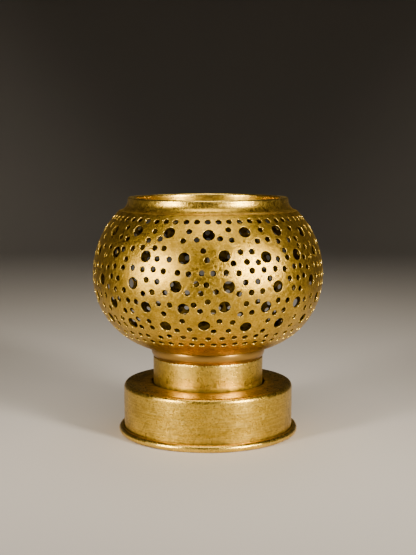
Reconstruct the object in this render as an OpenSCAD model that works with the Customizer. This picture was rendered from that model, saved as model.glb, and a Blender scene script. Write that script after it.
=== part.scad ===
// Table lantern for one votive or tealight candle, in spun and turned brass.
// A hand-pierced globe stands on a short neck in a collar, and the collar turns
// on a drum foot. Origin at the middle of the underside, +Z up, millimetres.

/* [Foot] */
// Outer radius of the drum wall
drum_r = 45.2; // [44.5:0.1:47]
// Height of the drum's flat top above the table
drum_top = 27; // [27:0.5:30]
// Sheet that the drum and its floor are spun from
drum_sheet = 1; // [0.8:0.05:1.2]
// Radius of the soft edge round the drum's top
drum_edge = 2.5; // [1.5:0.1:4]
// Radius of the wired bead rolled round the foot
bead_r = 1.95; // [1.7:0.05:2.3]

/* [Collar] */
// Outer radius of the collar
collar_r = 29.4; // [29.2:0.05:29.6]
// Wall of the collar tube
collar_wall = 1.2; // [1:0.05:1.3]
// Height of the collar's top edge above the table
collar_top = 41; // [40:0.5:41]

/* [Globe] */
// Radius of the globe at its widest ring
globe_r = 61.2; // [60:0.1:62]
// Height of the widest ring above the table
globe_mid = 85; // [84.5:0.1:85.5]
// Radius of the profile arc above the widest ring
upper_arc = 48; // [47.5:0.1:49]
// Radius of the profile arc below the widest ring
lower_arc = 40; // [39.5:0.1:40.5]
// Sheet that the globe is spun from
globe_sheet = 1.1; // [0.9:0.05:1.4]

/* [Mouth] */
// Height of the lip above the table, the lantern's full height
lip_top = 126; // [125.8:0.1:127]
// Outer radius of the lip
lip_r = 42.5; // [42:0.1:42.7]
// Radius of the mouth
mouth_r = 39.2; // [37:0.1:40]

/* [Piercing] */
// Diameter of the small drilled holes
small_hole = 3; // [2:0.1:3.4]
// Diameter of the large drilled holes
large_hole = 6; // [4.5:0.1:6.4]
// Distance between small holes along a row
hole_gap = 6.2; // [6:0.1:9]
// How far the hand drill strays from the marked spot
stray = 0.85; // [0:0.05:1.1]

/* [Candle cup] */
// Inner radius of the candle socket
socket_r = 20; // [19:0.1:20.5]
// Depth of the candle socket
socket_deep = 13; // [10:0.5:14]
// Radius of the drip pan under the socket
pan_r = 24.4; // [23:0.1:24.6]

/* [Hidden] */
$fn = 96;

brass = "#b8933f";
bright_brass = "#d9b562";
deep_brass = "#8f6420";
steel = "#8c8983";
fibre = "#5a3524";

// Overlap of two shapes that make one piece
lap = 1;

// Clearances: a hand-drop fit, a soldered joint and a turning fit
drop_fit = 0.08;
solder_gap = 0.05;
turn_fit = 0.05;

// Foot: the collar's hole and its turned-down lip, the rolled bead
hole_r = collar_r + 0.6;
hole_bend = 0.6;
hole_lip = 3.2;
drum_in = drum_r - drum_sheet;
bead_x = drum_in + bead_r;
bead_crack = 0.3;
plate_rim = 7;

// Swivel: a shouldered screw that holds the collar's floor down on the seat pan
seat_top = 19.6;
seat_sheet = 1.2;
seat_skirt = 7.6;
screw_r = 2.5;
screw_head_r = 4.5;
screw_head = 2;
screw_slot = [1.2, 12, 0.9];
nut_flats = 8;
nut_high = 4;
bush_r = 4;
slip_ring = [8, 0.6];
head_ring = [6.5, 0.6];
floor_sheet = 1.2;
well_r = 9.2;
well_bottom = seat_top + slip_ring[1];
bush_top = well_bottom + floor_sheet + turn_fit;
floor_top = 24.2;
collar_foot = 20.3;
collar_in = collar_r - collar_wall;
rib = [1.2, 1.2];
rib_gap = 0.5;
soft_edge = 0.3;

// Candle cup
cup_sheet = 0.8;
pan_edge = 3;
socket_roll = 0.9;

// Neck: a soft bulge between the collar and the globe, with a spigot below
neck_bore = 26.9;
neck_bulge = 6;
neck_bulge_x = 24.5;
spigot_deep = 7;
spigot_relief = 0.4;
relief_top = 39;
neck_hole = 28;
rivet_lip = 2.2;

// Mouth ring: a cove runs from the lip down to the globe's shoulder
lip_round = 0.9;
cove_r = 5.9;
cove_z = lip_top - 1.3;
cove_x = lip_r + cove_r;
mouth_foot = cove_z - 5.7;
mouth_skirt = 1.4;
skirt_wall = 3;

// Piercing: rows are set out by their arc length above the widest ring
top_row = 33.7;
bottom_row = -33.6;
row_gap = 5;
border_gap = 5.35;
border_stray = 0.25;
web = 0.7;
drill_reach = 4;
// How far a row waves up and down: border rows, rows of large holes, the rest
border_wave = 0.15;
large_wave = 0.3;
small_wave = 0.5;
// Rows of large holes: [arc length above the widest ring, holes, first angle]
large_rows = [[27, 18, 0], [15.2, 18, 8], [0.4, 15, 10], [-9.8, 18, 8.5], [-20.8, 18, -1]];

function arc_r(s) = s > 0 ? upper_arc : lower_arc;
function arc_x(s) = globe_r - arc_r(s);
function rise(s) = s / arc_r(s) * 180 / PI;
function ring_r(s) = arc_x(s) + arc_r(s) * cos(rise(s));
function turn(length, s) = length / ring_r(s) * 180 / PI;

// A repeatable scatter from -1 to 1 for hole number a of row b
function fraction(v) = v - floor(v);
function scatter(a, b) = 2 * fraction(437.585 * sin(77.7 * a + 141.3 * b + 12.9)) - 1;

function wave(angle, b) = sin(4 * angle + 50 * b);

// Where hole a of row b is drilled: [arc length above the widest ring, angle]
function spot(s, angle, a, b, by, wavy) = [
    s + by * scatter(a, b) + wavy * wave(angle, b),
    angle + turn(by * scatter(a, b + 60), s)
];

function apart(p, q) =
    let (mid = (p[0] + q[0]) / 2)
    norm([p[0] - q[0], 2 * ring_r(mid) * sin((p[1] - q[1]) / 2)]);

function is_free(p, others, gap) = min([for (q = others) apart(p, q)]) > gap;

large_spots = [
    for (i = [0 : len(large_rows) - 1])
        let (row = large_rows[i])
        for (k = [0 : row[1] - 1])
            spot(row[0], row[2] + 360 * k / row[1], k, i + 20, stray * 1.2, large_wave)
];

last_row = round((top_row - bottom_row) / row_gap);
small_spots = [
    for (i = [0 : last_row])
        let (
            s = top_row + (bottom_row - top_row) * i / last_row,
            border = i == 0 || i == last_row,
            count = round(2 * PI * ring_r(s) / (border ? border_gap : hole_gap)),
            by = border ? border_stray : stray,
            wavy = border ? border_wave : small_wave
        )
        for (k = [0 : count - 1])
            let (p = spot(s, 360 * (k + (i % 2) / 2) / count, k, i, by, wavy))
            if (is_free(p, large_spots, (small_hole + large_hole) / 2 + web)) p
];

module tube(r_out, r_in, low, high) {
    translate([0, 0, low])
        difference() {
            cylinder(h = high - low, r = r_out);
            translate([0, 0, -lap])
                cylinder(h = high - low + 2 * lap, r = r_in);
        }
}

// Band of a turned profile, from x to x + wide and from low to high
module band(x, wide, low, high) {
    translate([x, low])
        square([wide, high - low]);
}

// Half of the drum's outline, filled, at a distance inside its outer face
module drum_fill(inset) {
    corner = drum_r - drum_edge;
    band(0, drum_r - inset, -inset, drum_top - drum_edge);
    band(0, corner, 0, drum_top - inset);
    translate([corner, drum_top - drum_edge])
        circle(drum_edge - inset);
}

module base_drum() {
    color(brass)
        rotate_extrude()
            difference() {
                union() {
                    difference() {
                        drum_fill(0);
                        drum_fill(drum_sheet);
                        band(0, hole_r + hole_bend, 0, drum_top + lap);
                        band(0, drum_r + lap, -lap, bead_r);
                    }
                    hole_edge();
                    rolled_bead();
                }
                band(drum_r, bead_crack, bead_r, 3 * bead_r);
            }
}

// The sheet turned down round the collar's hole
module hole_edge() {
    bend_z = drum_top - hole_bend;
    band(hole_r, drum_sheet, drum_top - hole_lip, bend_z);
    intersection() {
        translate([hole_r + hole_bend, bend_z])
            circle(hole_bend);
        band(hole_r, hole_bend, bend_z, drum_top);
    }
}

// The foot of the sheet rolled outwards round a wire
module rolled_bead() {
    translate([bead_x, bead_r])
        difference() {
            circle(bead_r);
            circle(bead_r - drum_sheet);
        }
}

module base_plate() {
    plate_r = drum_in - solder_gap;
    color(deep_brass)
        rotate_extrude()
            difference() {
                union() {
                    band(0, plate_r - drum_sheet, 0, plate_rim);
                    band(0, plate_r, drum_sheet, plate_rim);
                    translate([plate_r - drum_sheet, drum_sheet])
                        circle(drum_sheet);
                }
                band(0, plate_r - drum_sheet, drum_sheet, plate_rim + lap);
            }
}

module bead_wire() {
    color(steel)
        rotate_extrude()
            translate([bead_x, bead_r])
                circle(bead_r - drum_sheet - solder_gap);
}

// A skirted disc pressed up inside the drum, which carries the swivel
module seat_pan() {
    seat_r = drum_in - solder_gap;
    color(deep_brass)
        union() {
            tube(seat_r, seat_r - seat_sheet, seat_top - seat_skirt, seat_top);
            tube(seat_r - seat_sheet / 2, screw_r + turn_fit, seat_top - seat_sheet, seat_top);
        }
}

module swivel_screw() {
    head_z = bush_top + head_ring[1];
    shank_end = seat_top - seat_sheet - nut_high - screw_head / 2;
    color(steel)
        difference() {
            union() {
                translate([0, 0, shank_end])
                    cylinder(h = head_z - shank_end + lap, r = screw_r);
                translate([0, 0, head_z])
                    cylinder(h = screw_head, r = screw_head_r);
            }
            translate([-screw_slot[0] / 2, -screw_slot[1] / 2, head_z + screw_head - screw_slot[2]])
                cube(screw_slot);
        }
}

module swivel_nut() {
    nut_z = seat_top - seat_sheet - nut_high;
    color(steel)
        translate([0, 0, nut_z])
            difference() {
                cylinder(h = nut_high, r = nut_flats / 2 / cos(30), $fn = 6);
                translate([0, 0, -lap])
                    cylinder(h = nut_high + 2 * lap, r = screw_r + turn_fit);
            }
}

module swivel_bush() {
    color(bright_brass)
        tube(bush_r, screw_r + turn_fit, seat_top, bush_top);
}

// Fibre washer that the collar's floor slips round on
module slip_washer() {
    color(fibre)
        tube(slip_ring[0], bush_r + turn_fit, seat_top, seat_top + slip_ring[1]);
}

// Steel washer under the screw's head
module head_washer() {
    color(steel)
        tube(head_ring[0], screw_r + turn_fit, bush_top, bush_top + head_ring[1]);
}

module collar_tube() {
    edge_x = collar_r - soft_edge;
    edge_z = collar_top - soft_edge;
    color(brass)
        rotate_extrude()
            union() {
                band(collar_in, collar_wall, collar_foot, edge_z);
                band(collar_in, collar_wall - soft_edge, collar_foot, collar_top);
                translate([edge_x, edge_z])
                    circle(soft_edge);
            }
}

// A dished floor: flange down inside the collar, a rib that centres the drip
// pan, and a well in the middle that takes the swivel below floor level
module collar_floor() {
    floor_r = collar_in - solder_gap;
    well_in = bush_r + turn_fit;
    color(deep_brass)
        rotate_extrude()
            union() {
                band(floor_r - floor_sheet, floor_sheet, collar_foot, floor_top);
                band(well_r - floor_sheet, floor_r - well_r, floor_top - floor_sheet, floor_top);
                band(pan_r + rib_gap, rib[0], floor_top - floor_sheet / 2, floor_top + rib[1]);
                band(well_r - floor_sheet, floor_sheet, well_bottom, floor_top);
                band(well_in, well_r - well_in, well_bottom, well_bottom + floor_sheet);
            }
}

module drip_pan() {
    low = floor_top;
    color(brass)
        rotate_extrude()
            union() {
                band(0, pan_r, low, low + cup_sheet);
                band(pan_r - cup_sheet, cup_sheet, low, low + pan_edge);
                translate([pan_r - cup_sheet / 2, low + pan_edge])
                    circle(cup_sheet / 2);
            }
}

module candle_socket() {
    low = floor_top + cup_sheet;
    high = low + socket_deep;
    roll_z = high - socket_roll;
    color(brass)
        rotate_extrude()
            union() {
                band(socket_r, cup_sheet, low, high);
                intersection() {
                    translate([socket_r + cup_sheet, roll_z])
                        circle(socket_roll);
                    band(socket_r + cup_sheet / 2, 2 * socket_roll, low, high);
                }
            }
}

module neck_ring() {
    spigot_wall = collar_in - drop_fit - neck_bore;
    relief_x = neck_bore + spigot_relief;
    lip_wall = neck_hole - solder_gap - neck_bore;
    color(deep_brass)
        rotate_extrude()
            union() {
                intersection() {
                    translate([neck_bulge_x, collar_top + neck_bulge * 2 / 3])
                        circle(neck_bulge);
                    band(neck_bore, neck_bulge, collar_top, globe_mid);
                    under_globe();
                }
                band(neck_bore, spigot_wall, relief_top, collar_top + lap);
                band(relief_x, spigot_wall - spigot_relief, collar_top - spigot_deep, collar_top);
                band(neck_bore, lip_wall, collar_top, shell_floor() + rivet_lip);
            }
}

// Height of the globe's underside at the edge of its neck hole
function shell_floor() = globe_mid - sqrt(pow(lower_arc, 2) - pow(neck_hole - arc_x(-1), 2));

// Half plane outside the globe's lower arc
module under_globe() {
    difference() {
        band(0, globe_r, 0, globe_mid);
        translate([arc_x(-1), globe_mid])
            circle(lower_arc + solder_gap / 2);
    }
}

// Half of the globe's outline, filled, at a distance inside its outer face
module globe_fill(inset) {
    intersection() {
        translate([arc_x(1), globe_mid])
            circle(upper_arc - inset);
        band(0, globe_r, globe_mid, mouth_foot + lap);
    }
    intersection() {
        translate([arc_x(-1), globe_mid])
            circle(lower_arc - inset);
        band(0, globe_r, 0, globe_mid);
    }
    band(0, arc_x(-1), globe_mid - lower_arc + inset, mouth_foot + lap);
}

// Drill one hole square to the globe's skin; angle 0 faces the front, -Y
module drill(p, diameter) {
    s = p[0];
    rotate([0, 0, p[1] - 90])
        translate([arc_x(s), 0, globe_mid])
            rotate([0, 90 - rise(s), 0])
                translate([0, 0, arc_r(s) - drill_reach])
                    cylinder(h = 2 * drill_reach, d = diameter);
}

// The holes of a list that reach into the half on the given side of the seam
function on_side(spots, side, diameter) =
    [for (p = spots) if (side * p[0] > -diameter / 2) p];

// One spun half of the globe, from low to high, with its holes
module globe_half(side, low, high) {
    difference() {
        rotate_extrude()
            difference() {
                globe_fill(0);
                globe_fill(globe_sheet);
                band(0, neck_hole, 0, globe_mid);
                band(0, globe_r + lap, -lap, low);
                band(0, globe_r + lap, high, lip_top);
            }
        for (p = on_side(large_spots, side, large_hole))
            drill(p, large_hole);
        for (p = on_side(small_spots, side, small_hole))
            drill(p, small_hole);
    }
}

module globe_lower() {
    color(brass)
        globe_half(-1, 0, globe_mid);
}

module globe_upper() {
    color(brass)
        globe_half(1, globe_mid, mouth_foot);
}

module mouth_ring() {
    foot_r = arc_x(1) + sqrt(pow(upper_arc, 2) - pow(mouth_foot - globe_mid, 2));
    color(bright_brass)
        rotate_extrude()
            difference() {
                union() {
                    band(mouth_r, lip_r - mouth_r, mouth_foot, lip_top - lip_round);
                    band(mouth_r + lip_round, lip_r - mouth_r - 2 * lip_round, mouth_foot, lip_top);
                    for (x = [mouth_r + lip_round, lip_r - lip_round])
                        translate([x, lip_top - lip_round])
                            circle(lip_round);
                    band(mouth_r, foot_r - mouth_r, mouth_foot, cove_z);
                    band(mouth_r, skirt_wall, mouth_foot - mouth_skirt, mouth_foot + lap);
                }
                translate([cove_x, cove_z])
                    circle(cove_r);
            }
}

base_drum();
base_plate();
bead_wire();
seat_pan();
swivel_screw();
swivel_nut();
swivel_bush();
slip_washer();
head_washer();
collar_tube();
collar_floor();
drip_pan();
candle_socket();
neck_ring();
globe_lower();
globe_upper();
mouth_ring();
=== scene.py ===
"""Pierced globe lantern in spun brass: the visible pieces, their finishes and a plain studio.

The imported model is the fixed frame. Every turned piece here is a profile carried
round the lantern's axis, and the globe is a triangulated skin with each hole's
edge, wall and inner rim built in. Lengths are metres; profiles are written in
millimetres and scaled once.
"""

import math
from types import SimpleNamespace

import bpy
import numpy as np
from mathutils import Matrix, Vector
from mathutils.geometry import delaunay_2d_cdt


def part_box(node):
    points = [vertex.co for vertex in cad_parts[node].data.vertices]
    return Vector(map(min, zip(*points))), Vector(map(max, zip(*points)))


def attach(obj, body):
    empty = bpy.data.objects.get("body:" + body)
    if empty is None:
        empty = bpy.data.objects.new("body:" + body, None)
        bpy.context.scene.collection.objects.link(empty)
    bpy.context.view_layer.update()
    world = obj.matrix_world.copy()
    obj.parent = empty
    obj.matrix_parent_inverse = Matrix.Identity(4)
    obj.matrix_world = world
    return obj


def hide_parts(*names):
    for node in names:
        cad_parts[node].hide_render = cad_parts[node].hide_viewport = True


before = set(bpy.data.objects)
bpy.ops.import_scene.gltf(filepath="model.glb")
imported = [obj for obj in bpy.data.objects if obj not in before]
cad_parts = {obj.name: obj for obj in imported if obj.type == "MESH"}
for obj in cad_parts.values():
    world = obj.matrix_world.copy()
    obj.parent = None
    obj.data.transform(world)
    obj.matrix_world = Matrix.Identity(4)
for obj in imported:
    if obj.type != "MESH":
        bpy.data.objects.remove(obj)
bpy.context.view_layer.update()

bl_info = {
    "name": "Pierced Globe Lantern",
    "version": (1, 0, 0),
    "blender": (4, 5, 0),
    "location": "View3D > Sidebar > Lantern",
    "description": "Builds a pierced brass globe lantern around its packed frame",
    "category": "Object",
}

MM = 0.001
TAU = 2 * math.pi
GLOBE_NODES = sorted(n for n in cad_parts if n.startswith("globe_"))
# How far the mouth ring reaches down inside the globe's top edge, in millimetres
LIP_LAP = 1.4


def top_of(node):
    """Highest point of a node in millimetres."""
    return round(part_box(node)[1][2] / MM, 3)


def reach_of(node):
    """Outer radius of a turned node in millimetres."""
    return round(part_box(node)[1][0] / MM, 3)


def foot_of(node):
    """Lowest point of a node in millimetres."""
    return round(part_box(node)[0][2] / MM, 3)


def linear(code):
    """sRGB hex to a linear colour: each channel c is c/12.92 when low, else ((c+0.055)/1.055)^2.4."""
    c = np.array([int(code[i : i + 2], 16) for i in (1, 3, 5)]) / 255
    c = np.where(c <= 0.04045, c / 12.92, ((c + 0.055) / 1.055) ** 2.4)
    return (*(round(float(v), 5) for v in c), 1.0)


# ---------------------------------------------------------------- settings


def length(name, about, default):
    """A length property, with its default given in millimetres."""
    return bpy.props.FloatProperty(
        name=name, description=about, default=default * MM, min=0.0, precision=4, unit="LENGTH"
    )


def colour(name, about, code):
    """A colour property with its default given as sRGB hex."""
    return bpy.props.FloatVectorProperty(
        name=name, description=about, default=linear(code), size=4, subtype="COLOR", min=0.0, max=1.0
    )


class LanternSizes(bpy.types.PropertyGroup):
    """Sizes that fit the frame's own."""

    globe_r: length("Globe radius", "Radius at the widest ring", max(reach_of(n) for n in GLOBE_NODES))
    globe_mid: length("Widest ring", "Height of the widest ring", 85.0)
    upper_arc: length("Upper arc", "Profile radius above the widest ring", 48.0)
    lower_arc: length("Lower arc", "Profile radius below the widest ring", 40.0)
    globe_sheet: length("Globe sheet", "Thickness of the globe's sheet", 1.1)
    neck_hole: length("Neck hole", "Radius of the opening in the globe's underside", 28.0)
    small_hole: length("Small holes", "Diameter of the small drilled holes", 3.0)
    large_hole: length("Large holes", "Diameter of the large drilled holes", 6.0)
    hole_gap: length("Hole spacing", "Distance between small holes along a row", 6.2)
    border_gap: length("Border spacing", "Distance between holes in the two border rows", 5.35)
    row_gap: length("Row spacing", "Distance between rows of small holes", 5.0)
    stray: length("Stray", "How far the hand drill strays from its mark", 0.85)
    rim: length("Hole edge", "Width of the worn edge round each hole", 0.2)
    lip_top: length("Lip height", "Height of the lip above the table", top_of("mouth_ring"))
    lip_r: length("Lip radius", "Outer radius of the lip", 42.5)
    mouth_r: length("Mouth radius", "Radius of the open mouth", 39.2)
    collar_r: length("Collar radius", "Outer radius of the collar", reach_of("collar_tube"))
    collar_top: length("Collar height", "Height of the collar's top edge", top_of("collar_tube"))
    drum_r: length("Drum radius", "Outer radius of the drum wall", 45.2)
    drum_top: length("Drum height", "Height of the drum's top", top_of("base_drum"))
    drum_edge: length("Drum edge", "Radius of the soft edge round the drum's top", 2.5)
    bead_r: length("Bead", "Radius of the rolled bead round the foot", 1.95)


def in_mm(sizes):
    """The sizes as plain numbers in millimetres, rounded past single precision."""
    keys = LanternSizes.__annotations__
    return SimpleNamespace(**{key: round(getattr(sizes, key) / MM, 4) for key in keys})


class LanternColours(bpy.types.PropertyGroup):
    """Colours of the brass in its several states."""

    tone: colour("Brass", "Satin brass, handled and aged", "#dcae2a")
    shade: colour("Tarnished brass", "Brass under a thin brown tarnish", "#866618")
    glint: colour("Burnished brass", "Rubbed edges and high spots", "#ffdc6e")
    # painted reflection: a warmer, darker brass for the neck, standing in for the drum below that it
    # reflects; also used on the hidden inner pieces
    reflected_warm: colour("Deep brass", "Unpolished brass low on the globe", "#b98818")
    # the grime colour also paints shade: it darkens gaps, hole walls and insides, as well as dirt specks
    grime: colour("Grime", "Soot and wax dirt in the corners", "#150d04")
    steel: colour("Steel", "Plain turned steel", "#8f8c86")
    fibre: colour("Fibre", "Pressed red fibre", "#6b3322")
    floor: colour("Floor", "Plain pale floor and backdrop", "#c2beb8")


# ---------------------------------------------------------------- surfaces


def line(a, b, steps=1, wear=(0, 0), grime=(0, 0)):
    """Points from a to b, without b: a plus t times b minus a.

    The columns are radius, height, wear, and dirt and painted shade.
    """
    t = np.arange(steps)[:, None] / steps
    start = np.array([*a, wear[0], grime[0]], float)
    end = np.array([*b, wear[1], grime[1]], float)
    return start + t * (end - start)


def arc(centre, radius, start, end, steps, wear=(0, 0), grime=(0, 0)):
    """Points on a circle from start to end degrees: centre plus radius times cosine and sine."""
    t = np.arange(steps + 1) / steps
    a = np.radians(start + t * (end - start))
    return np.column_stack(
        [
            centre[0] + radius * np.cos(a),
            centre[1] + radius * np.sin(a),
            wear[0] + t * (wear[1] - wear[0]),
            grime[0] + t * (grime[1] - grime[0]),
        ]
    )


def ripple(theta, height, seed, waves):
    """Slow unevenness of handwork: a sum of cosines of whole multiples of the angle.

    Each wave is a count and a size in millimetres, and drifts with height.
    """
    out = 0.0
    for k, (count, size) in enumerate(waves):
        drift = 0.11 * (k + 1) * height
        out = out + size * np.cos(count * theta + 1.7 * seed + 2.3 * k + drift)
    return out


def make_mesh(name, points, quads=None, triangles=None, sharp=40, **values):
    """Puts arrays of points and faces into a mesh, smooth but for edges sharper than an angle."""
    faces = [f.reshape(-1, f.shape[1]) for f in (quads, triangles) if f is not None]
    sizes = np.concatenate([np.full(len(f), f.shape[1]) for f in faces]).astype(np.int32)
    corners = np.concatenate([f.ravel() for f in faces]).astype(np.int32)
    mesh = bpy.data.meshes.new(name)
    mesh.vertices.add(len(points))
    mesh.vertices.foreach_set("co", (points * MM).astype(np.float32).ravel())
    mesh.loops.add(len(corners))
    mesh.loops.foreach_set("vertex_index", corners)
    mesh.polygons.add(len(sizes))
    starts = np.concatenate([[0], np.cumsum(sizes)[:-1]]).astype(np.int32)
    mesh.polygons.foreach_set("loop_start", starts)
    for key, value in values.items():
        layer = mesh.attributes.new(key, "FLOAT", "POINT")
        layer.data.foreach_set("value", np.clip(value, 0, 1).astype(np.float32))
    mesh.update(calc_edges=True)
    mesh.validate()
    mesh.shade_smooth()
    mesh.set_sharp_from_angle(angle=math.radians(sharp))
    piece = bpy.data.objects.new(name, mesh)
    bpy.context.scene.collection.objects.link(piece)
    return piece


def spin(name, profile, turns=288, uneven=None, sharp=40):
    """Carries a closed profile round the axis: x = r cos t, y = r sin t, z = height.

    The grid closes both ways, and points that repeat in the profile are dropped.
    """
    r, z = profile[:, 0], profile[:, 1]
    around = np.sum(r * np.roll(z, -1) - np.roll(r, -1) * z)
    if around < 0:
        profile = profile[::-1]
    gap = np.hypot(*(profile - np.roll(profile, 1, axis=0))[:, :2].T)
    profile = profile[gap > 1e-4]
    rows = len(profile)
    theta = np.arange(turns) * TAU / turns
    r, z, wear, grime = (np.repeat(profile[:, k : k + 1], turns, axis=1) for k in range(4))
    t = np.broadcast_to(theta, r.shape)
    if uneven:
        dr, dz = uneven(t, r, z)
        r, z = r + dr, z + dz
    points = np.stack([r * np.cos(t), r * np.sin(t), z], axis=-1).reshape(-1, 3)
    i, j = np.meshgrid(np.arange(rows), np.arange(turns), indexing="ij")
    i2, j2 = (i + 1) % rows, (j + 1) % turns
    quads = np.stack([i * turns + j, i * turns + j2, i2 * turns + j2, i2 * turns + j], axis=-1)
    return make_mesh(
        name, points, quads=quads.reshape(-1, 4), sharp=sharp, wear=wear.ravel(), grime=grime.ravel()
    )


def fraction(v):
    """What is left above the whole number."""
    return v - np.floor(v)


def scatter(a, b):
    """Repeatable scatter from -1 to 1 for hole a of row b, from the fraction of a large sine."""
    return 2 * fraction(437.585 * np.sin(np.radians(77.7 * a + 141.3 * b + 12.9))) - 1


class Globe:
    """The globe's skin: two arcs about the widest ring, addressed by arc length s above it and angle."""

    # Rows of large holes: arc length above the widest ring, holes, first angle
    LARGE_ROWS = ((27, 18, 0), (15.2, 18, 8), (0.4, 15, 10), (-9.8, 18, 8.5), (-20.8, 18, -1))
    TOP_ROW, BOTTOM_ROW = 33.7, -33.6
    BORDER_STRAY, WEB = 0.25, 0.7
    BORDER_WAVE, LARGE_WAVE, SMALL_WAVE = 0.15, 0.3, 0.5
    LARGE_STRAY = 1.2
    FLAT_START = 30
    OUT_OF_ROUND = 0.02

    def __init__(self, sizes):
        self.z = sizes
        high = foot_of("mouth_ring") + LIP_LAP - sizes.globe_mid
        low = (sizes.neck_hole - sizes.globe_r + sizes.lower_arc) / sizes.lower_arc
        self.s_top = sizes.upper_arc * math.asin(high / sizes.upper_arc)
        self.s_low = -sizes.lower_arc * math.acos(low)
        s = np.linspace(self.s_low - 1, self.s_top + 1, 4000)
        step = (s[1] - s[0]) / self.ring(s)
        self.table = s, np.concatenate([[0], np.cumsum((step[1:] + step[:-1]) / 2)])

    def arc_r(self, s):
        """Radius of the profile arc that s lies on."""
        return np.where(s > 0, self.z.upper_arc, self.z.lower_arc)

    def ring(self, s, depth=0):
        """Radius of the ring at s: the arc's centre plus its radius times the cosine of s over it."""
        arc_r = self.arc_r(s)
        return self.z.globe_r - arc_r + (arc_r - depth) * np.cos(s / arc_r)

    def place(self, s, theta, depth):
        """Point at arc length s, angle theta from the front, and a depth below the outer skin."""
        arc_r = self.arc_r(s)
        wave = ripple(theta, 0.25 * s, 1.0, ((2, 0.10), (3, 0.08), (7, 0.05), (13, 0.025)))
        r = self.ring(s, depth) + wave * np.cos(s / self.z.lower_arc)
        z = self.z.globe_mid + (arc_r - depth) * np.sin(s / arc_r)
        return np.stack([r * np.sin(theta), -r * np.cos(theta), z], axis=-1)

    def spot(self, s, angle, a, b, by, wavy):
        """A hole's centre: its mark moved by the scatter and by the slow wave of its row."""
        wave = wavy * np.sin(np.radians(4 * angle + 50 * b))
        turn = by * scatter(a, b + 60) / self.ring(np.asarray(s, float))
        return np.column_stack([s + by * scatter(a, b) + wave, np.radians(angle) + turn])

    def apart(self, p, q):
        """Distances between every hole of p and every hole of q, along the skin."""
        mid = (p[:, None, 0] + q[None, :, 0]) / 2
        chord = 2 * self.ring(mid) * np.sin((p[:, None, 1] - q[None, :, 1]) / 2)
        return np.hypot(p[:, None, 0] - q[None, :, 0], chord)

    def nearest(self, points, spots):
        """Distance from each point to the nearest hole's centre, a slice of the points at a time."""
        slices = np.array_split(points, 24)
        return np.concatenate([self.apart(part, spots).min(axis=1) for part in slices])

    def holes(self):
        """Centres of the large and of the small holes."""
        z = self.z
        large = []
        for i, (s, count, first) in enumerate(self.LARGE_ROWS):
            k = np.arange(count)
            angle, by = first + 360 * k / count, self.LARGE_STRAY * z.stray
            large.append(self.spot(s, angle, k, i + 20, by, self.LARGE_WAVE))
        large = np.concatenate(large)
        last = round((self.TOP_ROW - self.BOTTOM_ROW) / z.row_gap)
        small = []
        for i in range(last + 1):
            s = self.TOP_ROW + (self.BOTTOM_ROW - self.TOP_ROW) * i / last
            border = i in (0, last)
            spacing = z.border_gap if border else z.hole_gap
            count = round(TAU * float(self.ring(np.float64(s))) / spacing)
            k = np.arange(count)
            by = self.BORDER_STRAY if border else z.stray
            wavy = self.BORDER_WAVE if border else self.SMALL_WAVE
            small.append(self.spot(s, 360 * (k + (i % 2) / 2) / count, k, i, by, wavy))
        small = np.concatenate(small)
        free = self.apart(small, large).min(axis=1) > (z.small_hole + z.large_hole) / 2 + self.WEB
        return large, small[free]

    def flat(self, s, theta):
        """Even flattening of the skin, in which circles stay round.

        The flat radius is a start times e to the integral of ds over the ring's radius.
        """
        rho = self.FLAT_START * np.exp(np.interp(s, *self.table))
        return np.column_stack([rho * np.cos(theta), rho * np.sin(theta)])

    def outline(self, spots, radius, sides):
        """Arc length and angle of points round each hole, very slightly out of round."""
        a = np.arange(sides) * TAU / sides
        k = np.arange(len(spots))
        squash = 1 + self.OUT_OF_ROUND * scatter(k, 91)[:, None] * np.cos(2 * a + k[:, None])
        s = spots[:, :1] + radius * squash * np.sin(a)
        theta = spots[:, 1:] + radius * squash * np.cos(a) / self.ring(spots[:, :1])
        return s, theta


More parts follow.
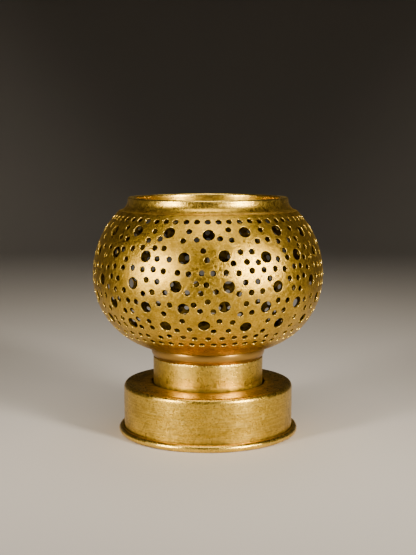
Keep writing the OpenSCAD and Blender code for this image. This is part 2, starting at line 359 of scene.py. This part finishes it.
def pierced_globe(sizes):
    """The globe as one closed skin.

    Its outer and inner faces share one triangulation of the flattened skin, and are joined
    through every hole and at both ends.
    """
    globe = Globe(sizes)
    large, small = globe.holes()
    rim, sheet = sizes.rim, sizes.globe_sheet
    large_sides, small_sides, end_sides = 28, 18, 288
    sets = ((large, sizes.large_hole / 2, large_sides), (small, sizes.small_hole / 2, small_sides))

    # points of the skin: hole outlines, the two end rings, and a loose filling between
    s_all, t_all, edges, owner, base = [], [], [], [], 0
    rings = []
    for spots, radius, sides in sets:
        s, theta = globe.outline(spots, radius + rim, sides)
        index = base + np.arange(s.size).reshape(s.shape)
        rings.append(index)
        edges.append(np.stack([index, np.roll(index, -1, axis=1)], axis=-1).reshape(-1, 2))
        s_all.append(s.ravel())
        t_all.append(theta.ravel())
        owner.append(np.repeat(base + np.arange(len(spots)), sides))
        base += s.size
    ends = []
    for s_end, holder in ((globe.s_low, base), (globe.s_top, -1)):
        index = base + np.arange(end_sides)
        ends.append(index)
        edges.append(np.column_stack([index, np.roll(index, -1)]))
        s_all.append(np.full(end_sides, s_end))
        t_all.append(np.arange(end_sides) * TAU / end_sides)
        owner.append(np.full(end_sides, holder))
        base += end_sides
    row_step, side_step, end_clear, hole_clear = 1.5, 1.75, (1.2, 0.8), 0.65
    s_row = np.arange(globe.s_low + end_clear[0], globe.s_top - end_clear[1], row_step)
    fill_s, fill_t = [], []
    for i, s in enumerate(s_row):
        count = int(round(TAU * float(globe.ring(np.float64(s))) / side_step))
        fill_s.append(np.full(count, s))
        fill_t.append((np.arange(count) + (i % 2) / 2) * TAU / count)
    fill = np.column_stack([np.concatenate(fill_s), np.concatenate(fill_t)])
    for spots, radius, _ in sets:
        fill = fill[globe.nearest(fill, spots) > radius + rim + hole_clear]
    s_all = np.concatenate(s_all + [fill[:, 0]])
    t_all = np.concatenate(t_all + [fill[:, 1]])

    flat = globe.flat(s_all, t_all)
    out = delaunay_2d_cdt([Vector(p) for p in flat], np.concatenate(edges).tolist(), [], 0, 1e-7, True)
    first = np.array([o[0] for o in out[3]])
    tri = first[np.array(out[2])]

    # a triangle with all three corners on one hole's outline, or on the neck's, lies inside it
    owner = np.concatenate(owner + [np.full(len(fill), -1)])[tri]
    tri = tri[(owner[:, 0] < 0) | (owner[:, 0] != owner[:, 1]) | (owner[:, 1] != owner[:, 2])]

    # how near each skin point is to the edge of a hole
    skin = np.column_stack([s_all, t_all])
    close = np.full(len(skin), 9.0)
    for spots, radius, _ in sets:
        close = np.minimum(close, globe.nearest(skin, spots) - radius - rim)
    at_edge, edge_wear = 0.02, 0.15
    wear = np.where(close < at_edge, edge_wear, 0.0)
    # painted shade under the globe: darker from a little above the neck down to it; the inner face is
    # painted darker all over as painted shade inside the globe
    crease_top, crease_run, crease_grime, inside_grime = 13, 9, 0.55, 0.72
    crease = np.clip((globe.s_low + crease_top - s_all) / crease_run, 0, 1) * crease_grime
    points = [globe.place(s_all, t_all, 0.0), globe.place(s_all, t_all, sheet)]
    wears, grimes = [wear, 0 * wear], [crease, 0 * wear + inside_grime]
    count = len(s_all)
    faces = [tri[:, ::-1], tri + count]

    # each hole: a flat ring, a worn edge, the drilled wall; each step is a share of the
    # edge's width, a depth, wear and painted shade, which darkens the drilled wall as it goes in
    quads, base = [], 2 * count
    steps = (
        (0.5, 0.0, 0.3, 0.0),
        (0.12, 0.07, 0.8, 0.0),
        (0.0, 0.2, 0.5, 0.3),
        (0.0, sheet - 0.08, 0.0, 0.8),
    )
    for (spots, radius, sides), ring in zip(sets, rings):
        previous = ring
        for share, depth, worn, dirt_shade_share in steps:
            s, theta = globe.outline(spots, radius + rim * share, sides)
            index = base + np.arange(s.size).reshape(s.shape)
            points.append(globe.place(s.ravel(), theta.ravel(), depth))
            wears.append(np.full(s.size, worn))
            grimes.append(np.full(s.size, dirt_shade_share))
            base += s.size
            quads.append(band(previous, index))
            previous = index
        quads.append(band(previous, ring + count))
    low, top = ends
    quads.append(band(low[None] + count, low[None]))
    quads.append(band(top[None], top[None] + count))
    return make_mesh(
        "pierced_globe",
        np.concatenate(points),
        quads=np.concatenate(quads),
        triangles=np.concatenate(faces),
        sharp=55,
        wear=np.concatenate(wears),
        grime=np.concatenate(grimes),
    )


def band(a, b):
    """Quads that join each closed ring of a to the same ring of b."""
    a2, b2 = np.roll(a, -1, axis=1), np.roll(b, -1, axis=1)
    return np.stack([a, a2, b2, b], axis=-1).reshape(-1, 4)


# ---------------------------------------------------------------- finishes


def add(tree, kind, settings=None, inputs=None, out=0):
    """Adds a node, sets its properties, fills its inputs with values or links, returns an output."""
    node = tree.nodes.new(kind)
    for key, value in (settings or {}).items():
        setattr(node, key, value)
    for key, value in (inputs or {}).items():
        if isinstance(value, bpy.types.NodeSocket):
            tree.links.new(value, node.inputs[key])
        else:
            node.inputs[key].default_value = value
    return node.outputs[out] if node.outputs else None


def worn(name, tones, satin=0.3, metal=1.0, cloud=16.0, blotch=0.6, mottle=1.9, streak=0.3, pits=0.1):
    """A turned surface after years of handling.

    Tones are its own colour, its tarnish, its rubbed edges and a dark brown for dirt specks and
    painted shade. Tarnish lies in clouds, a fine leafy mottle breaks the sheen, turning lines run
    round the axis, edges marked by wear are rubbed bright, and gaps, corners and insides marked
    for shade get painted shade in dark brown, and are dull. Satin is the roughness. Cloud and mottle are
    sizes and pits a depth, in millimetres.
    """
    tone, shade, glint, dirt_shade_colour = tones
    material = bpy.data.materials.new(name)
    material.use_nodes = True
    tree = material.node_tree
    tree.nodes.clear()
    here = add(tree, "ShaderNodeTexCoord", out="Object")
    wear = add(tree, "ShaderNodeAttribute", {"attribute_name": "wear"}, out="Fac")
    grime = add(tree, "ShaderNodeAttribute", {"attribute_name": "grime"}, out="Fac")

    # each field of unevenness: size in millimetres, detail, roughness, distortion;
    # the grain is drawn coarser than the real polish, so that it shows
    fields = {
        "clouds": (cloud, 4, 0.6, 0.3),
        "patches": (mottle * 3, 5, 0.65, 0.9),
        "leaf": (mottle, 5, 0.7, 1.4),
        "grain": (0.6, 2, 0.6, 0.0),
        "dots": (1.3, 2, 0.5, 0.0),
    }
    field = {}
    for key, (size, detail, rough, warp) in fields.items():
        settings = {"Vector": here, "Scale": 1 / (size * MM), "Detail": detail, "Roughness": rough}
        field[key] = add(tree, "ShaderNodeTexNoise", None, {**settings, "Distortion": warp})

    # turning lines: the noise changes fast with radius and height and slowly along the ring
    line_gap, line_run = 0.42, 14
    flat = add(tree, "ShaderNodeVectorMath", {"operation": "MULTIPLY"}, {0: here, 1: (1, 1, 0)})
    radius = add(tree, "ShaderNodeVectorMath", {"operation": "LENGTH"}, {0: flat}, out="Value")
    per_run = 1 / (line_run * MM)
    slow = add(tree, "ShaderNodeVectorMath", {"operation": "SCALE"}, {0: flat, "Scale": per_run})
    quick = add(tree, "ShaderNodeMath", {"operation": "MULTIPLY"}, {0: radius, 1: 1 / (line_gap * MM)})
    out = add(tree, "ShaderNodeCombineXYZ", None, {2: quick})
    along = add(tree, "ShaderNodeVectorMath", {"operation": "ADD"}, {0: slow, 1: out})
    height = add(tree, "ShaderNodeSeparateXYZ", None, {0: here}, out=2)
    up = add(tree, "ShaderNodeMath", {"operation": "MULTIPLY"}, {0: height, 1: 1 / (line_gap * MM)})
    settings = {"Vector": along, "W": up, "Scale": 1.0, "Detail": 3.0, "Roughness": 0.6}
    field["lines"] = add(tree, "ShaderNodeTexNoise", {"noise_dimensions": "4D"}, settings)

    # each share: its field, where it starts and is full, and its least and greatest value
    shares = {
        "tarnish": ("clouds", 0.42, 0.66, 0.0, blotch),
        "stain": ("patches", 0.50, 0.68, 0.0, 0.5),
        "dull": ("leaf", 0.56, 0.40, 0.0, 0.32),
        "sheen": ("leaf", 0.54, 0.72, 0.0, 0.45),
        "turned": ("lines", 0.42, 0.70, 0.0, streak * 0.7),
        "speck": ("dots", 0.66, 0.72, 0.0, 0.7),
        "rub": ("leaf", 0.34, 0.56, 0.45, 1.0),
        "satin": ("leaf", 0.30, 0.70, satin - 0.07, satin + 0.1),
        # corner: full painted shade where the attribute marks a gap, wall or inside
        "corner": (grime, 0.0, 0.15, 0.0, 1.0),
    }
    share = {}
    for key, (source, low, high, least, most) in shares.items():
        value = field[source] if source in field else source
        share[key] = add(tree, "ShaderNodeMapRange", None, {0: value, 1: low, 2: high, 3: least, 4: most})
    rubbed = add(tree, "ShaderNodeMath", {"operation": "MULTIPLY"}, {0: wear, 1: share["rub"]})
    # painted shade: the attribute, broken up by patches, darkens gaps, hole walls and insides
    uneven = {0: field["patches"], 1: 0.9, 2: grime}
    dirt_shade_share = add(tree, "ShaderNodeMath", {"operation": "MULTIPLY_ADD"}, uneven)
    dirt_shade_share = add(tree, "ShaderNodeMapRange", None, {0: dirt_shade_share, 1: 0.57, 2: 1.25})
    dirt_shade_share = add(tree, "ShaderNodeMath", {"operation": "MULTIPLY"}, {0: dirt_shade_share, 1: share["corner"]})

    base = tone
    # the specks are dirt; the last coat is painted shade in the marked gaps and insides
    coats = (
        (share["tarnish"], shade),
        (share["stain"], shade),
        (share["dull"], shade),
        (share["sheen"], glint),
        (share["turned"], glint),
        (share["speck"], dirt_shade_colour),
        (rubbed, glint),
        (dirt_shade_share, dirt_shade_colour),
    )
    for amount, coat in coats:
        base = add(tree, "ShaderNodeMix", {"data_type": "RGBA"}, {0: amount, 6: base, 7: coat}, out=2)

    # tarnish and the painted shade in corners are duller than clean metal, and a rubbed edge is smoother
    rough = share["satin"]
    for amount, by in ((share["tarnish"], 0.1), (rubbed, -0.1), (dirt_shade_share, 0.35)):
        rough = add(tree, "ShaderNodeMath", {"operation": "MULTIPLY_ADD"}, {0: amount, 1: by, 2: rough})
    heights = (
        (field["grain"], 0.35),
        (field["leaf"], 0.9),
        (field["lines"], streak),
        (share["speck"], -0.3),
    )
    relief = 0.0
    for amount, by in heights:
        relief = add(tree, "ShaderNodeMath", {"operation": "MULTIPLY_ADD"}, {0: amount, 1: by, 2: relief})
    bump = add(tree, "ShaderNodeBump", None, {"Strength": 1.0, "Distance": pits * MM, "Height": relief})
    settings = {"Base Color": base, "Metallic": metal, "Roughness": rough, "Normal": bump}
    shader = add(tree, "ShaderNodeBsdfPrincipled", None, settings)
    add(tree, "ShaderNodeOutputMaterial", None, {"Surface": shader})
    return material


def finishes(colours):
    """Makes every finish once and returns them by name."""
    made = bpy.data.materials
    if "spun_brass" in made:
        return made
    tone, shade, glint = tuple(colours.tone), tuple(colours.shade), tuple(colours.glint)
    reflected_warm, dirt_shade_colour, steel = tuple(colours.reflected_warm), tuple(colours.grime), tuple(colours.steel)
    plain = (tone, shade, glint, dirt_shade_colour)
    # spun brass, planished and waxed: satin, leafy mottle, rubbed hole edges
    worn("spun_brass", plain, satin=0.3, streak=0.15, pits=0.16)
    # turned brass, polished by handling: brighter, with fine lines round the mouth
    worn("turned_brass", plain, satin=0.28, cloud=11, blotch=0.6, streak=0.25, pits=0.07)
    # brushed brass, as the drum's wall: lines round the axis under a thin tarnish
    worn("brushed_brass", plain, satin=0.27, cloud=24, blotch=0.5, streak=0.6, pits=0.09)
    # painted reflection: deep brass, warmer and browner, low on the globe and inside, standing in on the
    # neck for the warm drum it reflects
    worn("deep_brass", (reflected_warm, shade, tone, dirt_shade_colour), satin=0.42, cloud=18, streak=0.2, pits=0.07)
    # turned steel, as the swivel's screw, nut and washer: grey, with clear tool marks
    worn("turned_steel", (steel, linear("#5c5954"), linear("#c9c7c2"), dirt_shade_colour), streak=0.4, pits=0.04)
    # pressed red fibre, as the slip washer: dull, with pale and dark flecks
    fibre = (tuple(colours.fibre), linear("#3a1d14"), linear("#8d5a41"), dirt_shade_colour)
    worn("pressed_fibre", fibre, satin=0.7, metal=0.0, mottle=1.0, streak=0.0, pits=0.05)
    return made


def finish_with(piece, material):
    """Gives a piece or a carried-over node one material in every slot."""
    if not piece.material_slots:
        piece.data.materials.append(material)
    for place in piece.material_slots:
        place.material = material


# ---------------------------------------------------------------- operators


class LANTERN_OT_globe(bpy.types.Operator):
    """The pierced globe, with every drilled hole."""

    bl_idname = "lantern.globe"
    bl_label = "Pierced Globe"

    def execute(self, context):
        scene = context.scene
        piece = pierced_globe(in_mm(scene.lantern_sizes))
        finish_with(piece, finishes(scene.lantern_colours)["spun_brass"])
        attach(piece, "globe")
        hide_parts(*GLOBE_NODES)
        return {"FINISHED"}


class LANTERN_OT_mouth(bpy.types.Operator):
    """The turned mouth ring with its thick lip and cove."""

    bl_idname = "lantern.mouth"
    bl_label = "Mouth Ring"

    def execute(self, context):
        scene = context.scene
        z = in_mm(scene.lantern_sizes)
        low = foot_of("mouth_ring")
        foot = low + LIP_LAP
        shoulder = z.globe_r - z.upper_arc + math.sqrt(z.upper_arc**2 - (foot - z.globe_mid) ** 2)
        round_r, cove, cove_drop, cove_end = 0.9, 5.9, 1.3, 252
        lip_z, cove_z = z.lip_top - round_r, z.lip_top - cove_drop
        lip_in, lip_out, behind = z.mouth_r + round_r, z.lip_r - round_r, z.mouth_r + 3
        # painted shade darkens the inner wall towards its foot, the cove where the lip meets the globe
        # and the hidden foot
        profile = np.concatenate(
            [
                line((z.mouth_r, low), (z.mouth_r, lip_z), 8, grime=(0.5, 0.05)),
                arc((lip_in, lip_z), round_r, 180, 90, 5, wear=(0.5, 1)),
                line((lip_in, z.lip_top), (lip_out, z.lip_top), 2, wear=(0.6, 0.6)),
                arc((lip_out, lip_z), round_r, 90, 0, 5, wear=(1, 0.5)),
                arc((z.lip_r + cove, cove_z), cove, 180, cove_end, 14, wear=(0.3, 0), grime=(0, 0.25)),
                line((shoulder, foot), (behind, foot), 1),
                line((behind, foot), (behind, low), 1, grime=(1, 1)),
                line((behind, low), (z.mouth_r, low), 1, grime=(1, 1)),
            ]
        )

        fade_foot, fade_run = cove_z - 3, 4

        def uneven(t, r, height):
            up = np.clip((height - fade_foot) / fade_run, 0, 1)
            return (
                up * ripple(t, height, 2.0, ((2, 0.08), (5, 0.04), (11, 0.03))),
                up * ripple(t, 0, 5.0, ((3, 0.05), (9, 0.035), (23, 0.02))),
            )

        piece = spin("mouth_lip", profile, uneven=uneven)
        finish_with(piece, finishes(scene.lantern_colours)["turned_brass"])
        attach(piece, "globe")
        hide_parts("mouth_ring")
        return {"FINISHED"}


class LANTERN_OT_neck(bpy.types.Operator):
    """The bulged neck that plugs into the collar."""

    bl_idname = "lantern.neck"
    bl_label = "Neck"

    def execute(self, context):
        scene = context.scene
        z = in_mm(scene.lantern_sizes)
        foot, top = foot_of("neck_ring"), top_of("neck_ring")
        seam = 0.05
        bore, spigot, lip = 26.9, 28.12, z.neck_hole - seam
        seat = z.collar_top + seam
        edge, edge_x = 0.4, 28.55
        bulge, bulge_x, bulge_z = 6.0, 24.5, z.collar_top + 4
        seat_x, seat_rise, lip_rise = 30.2, 1.05, 0.58
        relief_x, relief_z = bore + 0.4, foot + 5
        # painted shade darkens the seat on the collar's top, the step under the bulge and the bore
        profile = np.concatenate(
            [
                line((spigot, foot), (spigot, seat), 3),
                line((spigot, seat), (edge_x, seat), 1, grime=(1, 1)),
                arc((edge_x, seat + edge), edge, -90, -30, 4, grime=(1, 0.3), wear=(0, 0.3)),
                arc((bulge_x, bulge_z), bulge, -34, 10.5, 16, grime=(0.0, 0.15), wear=(0.25, 0)),
                line((seat_x, bulge_z + seat_rise), (lip, bulge_z + lip_rise), 2, grime=(1, 1)),
                line((lip, bulge_z + lip_rise), (lip, top), 2, grime=(1, 0.6)),
                line((lip, top), (bore, top), 1, grime=(0.6, 0.6)),
                line((bore, top), (bore, relief_z), 4, grime=(0.6, 0.6)),
                line((bore, relief_z), (relief_x, relief_z), 1, grime=(0.6, 0.6)),
                line((relief_x, relief_z), (relief_x, foot), 2, grime=(0.6, 0.6)),
                line((relief_x, foot), (spigot, foot), 1),
            ]
        )
        piece = spin("neck_bulge", profile)
        # the neck's deep brass is a painted reflection of the drum below
        finish_with(piece, finishes(scene.lantern_colours)["deep_brass"])
        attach(piece, "globe")
        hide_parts("neck_ring")
        return {"FINISHED"}


class LANTERN_OT_collar(bpy.types.Operator):
    """The turning collar with its rubbed top edge."""

    bl_idname = "lantern.collar"
    bl_label = "Collar"

    def execute(self, context):
        scene = context.scene
        z = in_mm(scene.lantern_sizes)
        sheet, edge = 1.2, 0.35
        foot, inside = foot_of("collar_tube"), z.collar_r - sheet
        wall_top = z.collar_top - edge
        # painted shade of the drum's gap darkens the collar's foot and ends just above the drum's top;
        # the inside is painted darker too
        hidden, clean = foot + 7.5, foot + 9.5
        profile = np.concatenate(
            [
                line((z.collar_r, foot), (z.collar_r, hidden), 4, grime=(1, 0.6)),
                line((z.collar_r, hidden), (z.collar_r, clean), 3, grime=(0.5, 0), wear=(0, 0.35)),
                line((z.collar_r, clean), (z.collar_r, wall_top), 9, wear=(0.1, 0.25)),
                arc((z.collar_r - edge, wall_top), edge, 0, 90, 4, wear=(0.8, 1)),
                line((z.collar_r - edge, z.collar_top), (inside, z.collar_top), 1, wear=(0.6, 0.2)),
                line((inside, z.collar_top), (inside, foot), 6, grime=(0.7, 0.7)),
                line((inside, foot), (z.collar_r, foot), 1, grime=(1, 1)),
            ]
        )

        fade_foot, fade_run, drop = wall_top - 1, 1.3, 0.06

        def uneven(t, r, height):
            up = np.clip((height - fade_foot) / fade_run, 0, 1)
            lift = ripple(t, 0, 3.0, ((7, 0.035), (19, 0.03), (31, 0.025), (47, 0.02)))
            return ripple(t, height, 4.0, ((2, 0.04), (3, 0.03), (8, 0.02))), up * (lift - drop)

        piece = spin("collar_wall", profile, uneven=uneven)
        finish_with(piece, finishes(scene.lantern_colours)["spun_brass"])
        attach(piece, "collar")
        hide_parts("collar_tube")
        return {"FINISHED"}


class LANTERN_OT_drum(bpy.types.Operator):
    """The drum foot, from its turned-down hole edge to the rolled bead."""

    bl_idname = "lantern.drum"
    bl_label = "Drum Foot"

    def execute(self, context):
        scene = context.scene
        z = in_mm(scene.lantern_sizes)
        sheet, crack, bend, gap, lip = 1.0, 0.35, 0.6, 0.6, 3.2
        hole = z.collar_r + gap
        inside, corner, corner_z = z.drum_r - sheet, z.drum_r - z.drum_edge, z.drum_top - z.drum_edge
        bend_x, bend_z, lip_z = hole + bend, z.drum_top - bend, z.drum_top - lip
        lip_x, under = hole + sheet, z.drum_top - sheet
        # wear ends on the top, then painted shade darkens towards the gap; on the wall painted shade from
        # the crack at the bead ends above the bead, and the hidden inside is painted darker
        worn_x, dull_x, clean_z, crack_foot = corner - 4, bend_x + 1.5, 5.2, 1.6
        crack_x, bead_x = z.drum_r + crack, inside + z.bead_r
        reach = math.degrees(math.acos((crack_x - bead_x) / z.bead_r))
        crack_top = z.bead_r * (1 + math.sin(math.radians(reach)))
        profile = np.concatenate(
            [
                line((z.drum_r, crack_foot), (z.drum_r, clean_z), 5, grime=(1, 0.25)),
                line((z.drum_r, clean_z), (z.drum_r, corner_z), 12, grime=(0.2, 0), wear=(0, 0.1)),
                arc((corner, corner_z), z.drum_edge, 0, 90, 10, wear=(0.15, 0.5)),
                line((corner, z.drum_top), (worn_x, z.drum_top), 3, wear=(0.4, 0)),
                line((worn_x, z.drum_top), (dull_x, z.drum_top), 6, grime=(0, 0.35)),
                line((dull_x, z.drum_top), (bend_x, z.drum_top), 3, grime=(0.35, 0.6)),
                arc((bend_x, bend_z), bend, 90, 180, 5, grime=(0.7, 1)),
                line((hole, bend_z), (hole, lip_z), 2, grime=(1, 1)),
                line((hole, lip_z), (lip_x, lip_z), 1, grime=(1, 1)),
                line((lip_x, lip_z), (lip_x, under), 2, grime=(1, 1)),
                line((lip_x, under), (corner, under), 3, grime=(0.8, 0.8)),
                arc((corner, corner_z), z.drum_edge - sheet, 90, 0, 5, grime=(0.8, 0.8)),
                line((inside, corner_z), (inside, z.bead_r), 4, grime=(0.8, 0.8)),
                arc((bead_x, z.bead_r), z.bead_r, 180, 300, 12, grime=(0.6, 0.2), wear=(0, 0.2)),
                arc((bead_x, z.bead_r), z.bead_r, 305, 330 + reach, 14, wear=(0.3, 0.55)),
                arc((bead_x, z.bead_r), z.bead_r, 334 + reach, 360 + reach, 4, grime=(0, 0.8)),
                line((crack_x, crack_top - 0.2), (crack_x, crack_foot), 3, grime=(1, 1)),
                line((crack_x, crack_foot), (z.drum_r, crack_foot), 1, grime=(1, 1)),
            ]
        )

        bead_clear = 4.2

        def uneven(t, r, height):
            wall = ripple(t, height, 6.0, ((2, 0.05), (3, 0.04), (7, 0.03), (12, 0.015)))
            on_bead = np.clip(r - crack_x, 0, 1) * (height < bead_clear)
            roll = ripple(t, 0, 8.0, ((5, 0.05), (11, 0.04), (26, 0.025)))
            top = np.clip((height - corner_z) / z.drum_edge, 0, 1)
            return wall + on_bead * roll, top * ripple(t, 0.3 * r, 7.0, ((2, 0.04), (5, 0.03)))

        piece = spin("drum_foot", profile, turns=320, uneven=uneven)
        finish_with(piece, finishes(scene.lantern_colours)["brushed_brass"])
        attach(piece, "base")
        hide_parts("base_drum", "bead_wire")
        return {"FINISHED"}


class LANTERN_OT_inner(bpy.types.Operator):
    """Finishes for the nodes that keep their own shape: floor plate, swivel and candle cup."""

    bl_idname = "lantern.inner"
    bl_label = "Inner Pieces"

    def execute(self, context):
        made = finishes(context.scene.lantern_colours)
        wanted = {
            "base_plate": "deep_brass",
            "seat_pan": "deep_brass",
            "collar_floor": "deep_brass",
            "drip_pan": "turned_brass",
            "candle_socket": "turned_brass",
            "swivel_bush": "turned_brass",
            "swivel_screw": "turned_steel",
            "swivel_nut": "turned_steel",
            "head_washer": "turned_steel",
            "slip_washer": "pressed_fibre",
        }
        for name, finish in wanted.items():
            finish_with(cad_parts[name], made[finish])
        return {"FINISHED"}


class LANTERN_OT_stage(bpy.types.Operator):
    """Pale floor that curves up to a round backdrop, four soft lights and the camera."""

    bl_idname = "lantern.stage"
    bl_label = "Studio"

    def execute(self, context):
        scene = context.scene
        # floor: a level disc, then a quarter circle up to a round upright backdrop
        level, bend, wall_top, turns = 1.0, 0.8, 3.5, 96
        t = np.radians(np.linspace(0, 90, 25))
        r = np.concatenate([[0.02, 0.4], level + bend * np.sin(t), [level + bend]])
        z = np.concatenate([[0.0, 0.0], bend - bend * np.cos(t), [wall_top]])
        a = np.arange(turns) * TAU / turns
        across, along, up = np.outer(r, np.cos(a)), np.outer(r, np.sin(a)), np.outer(z, np.ones(turns))
        grid = np.stack([across, along, up], axis=-1)
        index = np.arange(len(r) * turns).reshape(len(r), turns)
        middle = np.column_stack([index[0], np.roll(index[0], -1), np.full(turns, index.size)])
        points = np.concatenate([grid.reshape(-1, 3), np.zeros((1, 3))])
        rings = band(index[1:], index[:-1])
        sweep = make_mesh("floor_sweep", points / MM, quads=rings, triangles=middle)
        paper = bpy.data.materials.new("studio_paper")
        paper.use_nodes = True
        shader = paper.node_tree.nodes["Principled BSDF"]
        shader.inputs["Base Color"].default_value = scene.lantern_colours.floor
        shader.inputs["Roughness"].default_value = 0.75
        finish_with(sweep, paper)

        lights = (
            # name, angle right of the front, height angle, distance, width, height, watts, spread
            ("left_softbox", -50, 12, 0.75, 0.12, 0.28, 0.95, 60),
            ("right_softbox", 46, 14, 0.75, 0.12, 0.28, 1.4, 60),
            ("front_softbox", 0, 66, 0.8, 0.60, 0.30, 1.4, 120),
            ("top_softbox", 170, 64, 0.9, 0.40, 0.40, 0.8, 120),
        )
        aim, warm_white = Vector((0, 0, 0.075)), linear("#fff4e4")
        for name, turn, rise, away, wide, high, watts, spread in lights:
            data = bpy.data.lights.new(name, "AREA")
            data.shape = "RECTANGLE"
            data.size, data.size_y = wide, high
            data.energy = watts
            data.spread = math.radians(spread)
            data.color = warm_white[:3]
            lamp = bpy.data.objects.new(name, data)
            a, e = math.radians(turn), math.radians(rise)
            spot = Vector((math.sin(a) * math.cos(e), -math.cos(a) * math.cos(e), math.sin(e))) * away
            lamp.location = aim + spot
            lamp.rotation_euler = (-spot).to_track_quat("-Z", "Y").to_euler()
            scene.collection.objects.link(lamp)

        world = bpy.data.worlds.new("studio_air")
        world.use_nodes = True
        air = world.node_tree.nodes["Background"]
        air.inputs["Color"].default_value = linear("#b9b2aa")
        air.inputs["Strength"].default_value = 0.06
        scene.world = world

        # a little above the globe's mouth, looking slightly down
        eye, tilt, lens, sensor = (0.0, -0.5688, 0.1521), math.radians(83.065), 69.49, 36.0
        data = bpy.data.cameras.new("studio_camera")
        data.sensor_width = sensor
        data.lens = lens
        data.clip_start = 0.01
        camera = bpy.data.objects.new("studio_camera", data)
        camera.location = eye
        camera.rotation_euler = (tilt, 0.0, 0.0)
        scene.collection.objects.link(camera)
        scene.camera = camera
        return {"FINISHED"}


OPERATORS = (
    LANTERN_OT_stage,
    LANTERN_OT_drum,
    LANTERN_OT_collar,
    LANTERN_OT_neck,
    LANTERN_OT_globe,
    LANTERN_OT_mouth,
    LANTERN_OT_inner,
)


class LANTERN_PT_panel(bpy.types.Panel):
    """Sizes, colours and the buttons that build the lantern."""

    bl_idname = "LANTERN_PT_panel"
    bl_label = "Pierced Globe Lantern"
    bl_space_type = "VIEW_3D"
    bl_region_type = "UI"
    bl_category = "Lantern"

    def draw(self, context):
        for group in (context.scene.lantern_sizes, context.scene.lantern_colours):
            box = self.layout.box()
            for key in group.__annotations__:
                box.prop(group, key)
        for operator in OPERATORS:
            self.layout.operator(operator.bl_idname)


CLASSES = (LanternSizes, LanternColours, *OPERATORS, LANTERN_PT_panel)


def register():
    """Registers every class and hangs the settings on the scene."""
    for cls in CLASSES:
        bpy.utils.register_class(cls)
    bpy.types.Scene.lantern_sizes = bpy.props.PointerProperty(type=LanternSizes)
    bpy.types.Scene.lantern_colours = bpy.props.PointerProperty(type=LanternColours)


def unregister():
    """Takes everything off again, last in first out."""
    del bpy.types.Scene.lantern_colours
    del bpy.types.Scene.lantern_sizes
    for cls in reversed(CLASSES):
        bpy.utils.unregister_class(cls)


def main():
    """Builds the whole lantern in order."""
    register()
    for operator in OPERATORS:
        group, name = operator.bl_idname.split(".")
        getattr(getattr(bpy.ops, group), name)()


if __name__ == "__main__":
    main()
